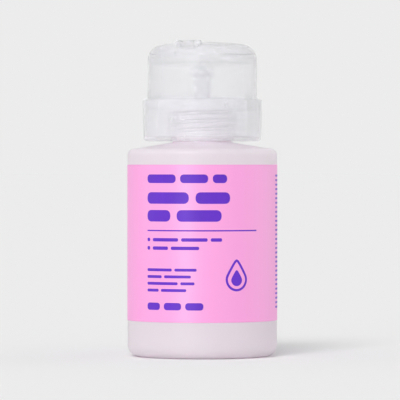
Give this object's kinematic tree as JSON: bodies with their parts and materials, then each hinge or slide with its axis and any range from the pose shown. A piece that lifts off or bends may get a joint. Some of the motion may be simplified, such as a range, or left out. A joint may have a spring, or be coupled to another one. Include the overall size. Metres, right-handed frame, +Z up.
{
  "type": "pump bottle",
  "caption": "Round milky bottle with a wrap label and a clear press-down dispenser: a dish under a flip lid takes a pad, and pressing it pumps a dose of liquid up through the stem",
  "frame": {"origin": "centre of the standing face under the bottle", "axes": "+Z up along the bottle's axis, the front of the label faces -Y, +X to the right seen from the front"},
  "size_m": [0.0584, 0.0584, 0.1221],
  "materials": {
    "milky_plastic": "milky translucent blow-moulded polyethylene, satin",
    "label_film": "printed pink film, satin",
    "clear_plastic": "clear moulded polypropylene, a little hazy",
    "natural_plastic": "natural moulded polypropylene",
    "white_plastic": "white moulded polyethylene",
    "seal_foam": "soft white foam liner",
    "spring_steel": "bright drawn stainless wire",
    "valve_glass": "polished"
  },
  "bodies": {
    "bottle": {"bottle": "milky_plastic", "wrap_label": "label_film"},
    "pump_engine": {"neck_gasket": "seal_foam", "pump_housing": "natural_plastic", "stem_guide": "natural_plastic", "inlet_cage": "natural_plastic", "return_spring": "spring_steel", "dip_tube": "natural_plastic"},
    "collar": {"screw_collar": "clear_plastic"},
    "inlet_valve": {"inlet_ball": "valve_glass"},
    "piston": {"piston": "white_plastic"},
    "press_head": {"pump_stem": "natural_plastic", "piston_seat": "white_plastic", "head_shell": "clear_plastic", "dispensing_dish": "clear_plastic", "orifice_cap": "natural_plastic"},
    "outlet_valve": {"outlet_ball": "valve_glass"},
    "lid": {"flip_lid": "clear_plastic"}
  },
  "joints": [
    {"name": "pump_lift", "type": "slide", "parent": "bottle", "child": "pump_engine", "axis": [0, 0, 1], "range_m": [0, 0.0064]},
    {"name": "collar_turn", "type": "hinge", "parent": "pump_engine", "child": "collar", "pos_m": [0, 0, 0.09], "axis": [0, 0, 1], "range_deg": [0, 720]},
    {"name": "head_press", "type": "slide", "parent": "pump_engine", "child": "piston", "axis": [0, 0, -1], "range_m": [0, 0.007], "stiffness_N_per_m": 700, "springref_m": -0.006, "deforming": ["return_spring"]},
    {"name": "head_swivel", "type": "hinge", "parent": "piston", "child": "press_head", "pos_m": [0, 0, 0.09], "axis": [0, 0, 1], "continuous": true},
    {"name": "lid_flip", "type": "hinge", "parent": "press_head", "child": "lid", "pos_m": [-0.00532, -0.01637, 0.12043], "axis": [0.9511, -0.309, 0], "range_deg": [0, 125]},
    {"name": "inlet_ball_lift", "type": "slide", "parent": "pump_engine", "child": "inlet_valve", "axis": [0, 0, 1], "range_m": [0, 0.0012]},
    {"name": "outlet_ball_lift", "type": "slide", "parent": "press_head", "child": "outlet_valve", "axis": [0, 0, 1], "range_m": [0, 0.0006]}
  ],
  "couplings": [
    {"joint": "pump_lift", "follows": "collar_turn", "m_per_rad": 0.00050532}
  ]
}
